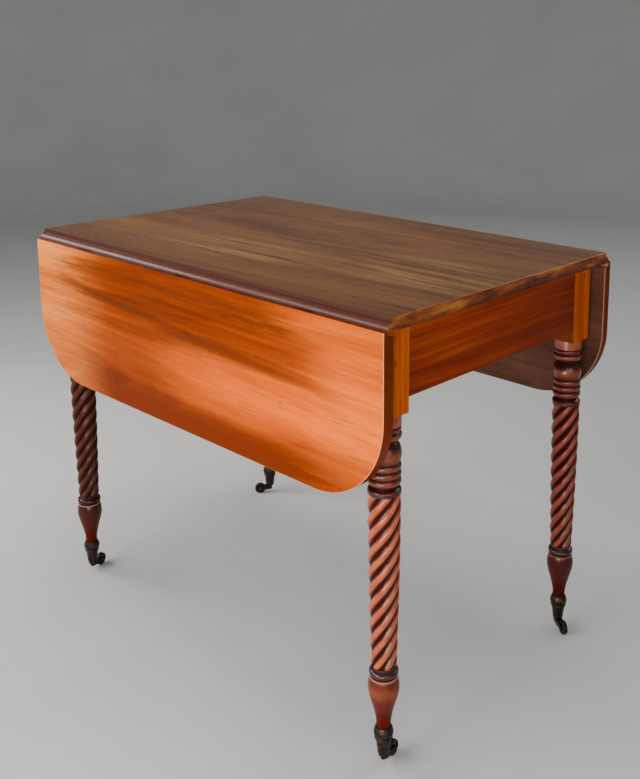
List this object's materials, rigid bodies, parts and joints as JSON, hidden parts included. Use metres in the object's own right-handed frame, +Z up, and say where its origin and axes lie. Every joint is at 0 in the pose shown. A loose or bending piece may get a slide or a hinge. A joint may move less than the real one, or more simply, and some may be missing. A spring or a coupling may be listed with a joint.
{
  "type": "pembroke table",
  "caption": "Drop-leaf pembroke table with rule-jointed leaves, rope-twist legs and swivelling brass cup casters, both leaves hanging.",
  "frame": {"origin": "on the floor under the middle of the top", "axes": "+X along the joint lines of the leaves towards the right end, +Y towards the rear leaf, +Z up"},
  "size_m": [0.925, 0.599, 0.73],
  "materials": {
    "top_mahogany": "french polished",
    "leaf_mahogany": "french polished",
    "leg_mahogany": "french polished",
    "apron_mahogany": "french polished",
    "secondary_wood": "bare, darkened with age",
    "fly_wood": "bare, darkened with age",
    "peg_wood": "polished over",
    "caster_brass": "dark patina",
    "hinge_iron": "dull, browned",
    "forged_iron": "dull, browned",
    "screw_iron": "dull"
  },
  "bodies": {
    "frame": {"top_board": "top_mahogany", "right_end_apron": "apron_mahogany", "left_end_apron": "apron_mahogany", "front_inner_rail": "secondary_wood", "rear_inner_rail": "secondary_wood", "front_fly_rail": "fly_wood", "rear_fly_rail": "fly_wood", "glue_blocks": "secondary_wood", "tenon_pegs": "peg_wood", "fly_hinge_pins": "forged_iron", "fly_rail_screws": "screw_iron", "top_screws": "screw_iron", "front_hinge_top_flaps": "hinge_iron", "rear_hinge_top_flaps": "hinge_iron", "leaf_hinge_pins": "hinge_iron", "hinge_top_screws": "screw_iron", "caster_pivots": "forged_iron", "caster_cup_screws": "screw_iron", "leg_front_right": "leg_mahogany", "caster_cup_front_right": "caster_brass", "leg_front_left": "leg_mahogany", "caster_cup_front_left": "caster_brass", "leg_rear_right": "leg_mahogany", "caster_cup_rear_right": "caster_brass", "leg_rear_left": "leg_mahogany", "caster_cup_rear_left": "caster_brass"},
    "front_leaf": {"front_leaf": "leaf_mahogany", "front_hinge_leaf_flaps": "hinge_iron", "front_hinge_leaf_screws": "screw_iron"},
    "rear_leaf": {"rear_leaf": "leaf_mahogany", "rear_hinge_leaf_flaps": "hinge_iron", "rear_hinge_leaf_screws": "screw_iron"},
    "front_right_fly": {"front_right_fly": "fly_wood"},
    "front_left_fly": {"front_left_fly": "fly_wood"},
    "rear_right_fly": {"rear_right_fly": "fly_wood"},
    "rear_left_fly": {"rear_left_fly": "fly_wood"},
    "caster_horn_front_right": {"caster_horn_front_right": "caster_brass", "caster_axle_front_right": "forged_iron"},
    "caster_wheel_front_right": {"caster_wheel_front_right": "caster_brass"},
    "caster_horn_front_left": {"caster_horn_front_left": "caster_brass", "caster_axle_front_left": "forged_iron"},
    "caster_wheel_front_left": {"caster_wheel_front_left": "caster_brass"},
    "caster_horn_rear_right": {"caster_horn_rear_right": "caster_brass", "caster_axle_rear_right": "forged_iron"},
    "caster_wheel_rear_right": {"caster_wheel_rear_right": "caster_brass"},
    "caster_horn_rear_left": {"caster_horn_rear_left": "caster_brass", "caster_axle_rear_left": "forged_iron"},
    "caster_wheel_rear_left": {"caster_wheel_rear_left": "caster_brass"}
  },
  "joints": [
    {"name": "front_leaf_hinge", "type": "hinge", "parent": "frame", "child": "front_leaf", "pos_m": [0, -0.282, 0.7125], "axis": [-1, 0, 0], "range_deg": [0, 90]},
    {"name": "rear_leaf_hinge", "type": "hinge", "parent": "frame", "child": "rear_leaf", "pos_m": [0, 0.282, 0.7125], "axis": [1, 0, 0], "range_deg": [0, 90]},
    {"name": "front_right_fly_hinge", "type": "hinge", "parent": "frame", "child": "front_right_fly", "pos_m": [0.15, -0.253, 0.655], "axis": [0, 0, -1], "range_deg": [0, 3]},
    {"name": "front_left_fly_hinge", "type": "hinge", "parent": "frame", "child": "front_left_fly", "pos_m": [-0.15, -0.253, 0.655], "axis": [0, 0, 1], "range_deg": [0, 3]},
    {"name": "rear_right_fly_hinge", "type": "hinge", "parent": "frame", "child": "rear_right_fly", "pos_m": [0.15, 0.253, 0.655], "axis": [0, 0, 1], "range_deg": [0, 3]},
    {"name": "rear_left_fly_hinge", "type": "hinge", "parent": "frame", "child": "rear_left_fly", "pos_m": [-0.15, 0.253, 0.655], "axis": [0, 0, -1], "range_deg": [0, 3]},
    {"name": "caster_swivel_front_right", "type": "hinge", "parent": "frame", "child": "caster_horn_front_right", "pos_m": [0.415, -0.245, 0.015], "axis": [0, 0, 1], "continuous": true},
    {"name": "caster_wheel_spin_front_right", "type": "hinge", "parent": "caster_horn_front_right", "child": "caster_wheel_front_right", "pos_m": [0.41166, -0.22123, 0.0125], "axis": [-0.9903, -0.1392, 0], "continuous": true},
    {"name": "caster_swivel_front_left", "type": "hinge", "parent": "frame", "child": "caster_horn_front_left", "pos_m": [-0.415, -0.245, 0.015], "axis": [0, 0, 1], "continuous": true},
    {"name": "caster_wheel_spin_front_left", "type": "hinge", "parent": "caster_horn_front_left", "child": "caster_wheel_front_left", "pos_m": [-0.42242, -0.22218, 0.0125], "axis": [-0.9511, -0.309, 0], "continuous": true},
    {"name": "caster_swivel_rear_right", "type": "hinge", "parent": "frame", "child": "caster_horn_rear_right", "pos_m": [0.415, 0.245, 0.015], "axis": [0, 0, 1], "continuous": true},
    {"name": "caster_wheel_spin_rear_right", "type": "hinge", "parent": "caster_horn_rear_right", "child": "caster_wheel_rear_right", "pos_m": [0.43535, 0.23228, 0.0125], "axis": [0.5299, 0.848, 0], "continuous": true},
    {"name": "caster_swivel_rear_left", "type": "hinge", "parent": "frame", "child": "caster_horn_rear_left", "pos_m": [-0.415, 0.245, 0.015], "axis": [0, 0, 1], "continuous": true},
    {"name": "caster_wheel_spin_rear_left", "type": "hinge", "parent": "caster_horn_rear_left", "child": "caster_wheel_rear_left", "pos_m": [-0.42944, 0.22583, 0.0125], "axis": [0.7986, -0.6018, 0], "continuous": true}
  ]
}
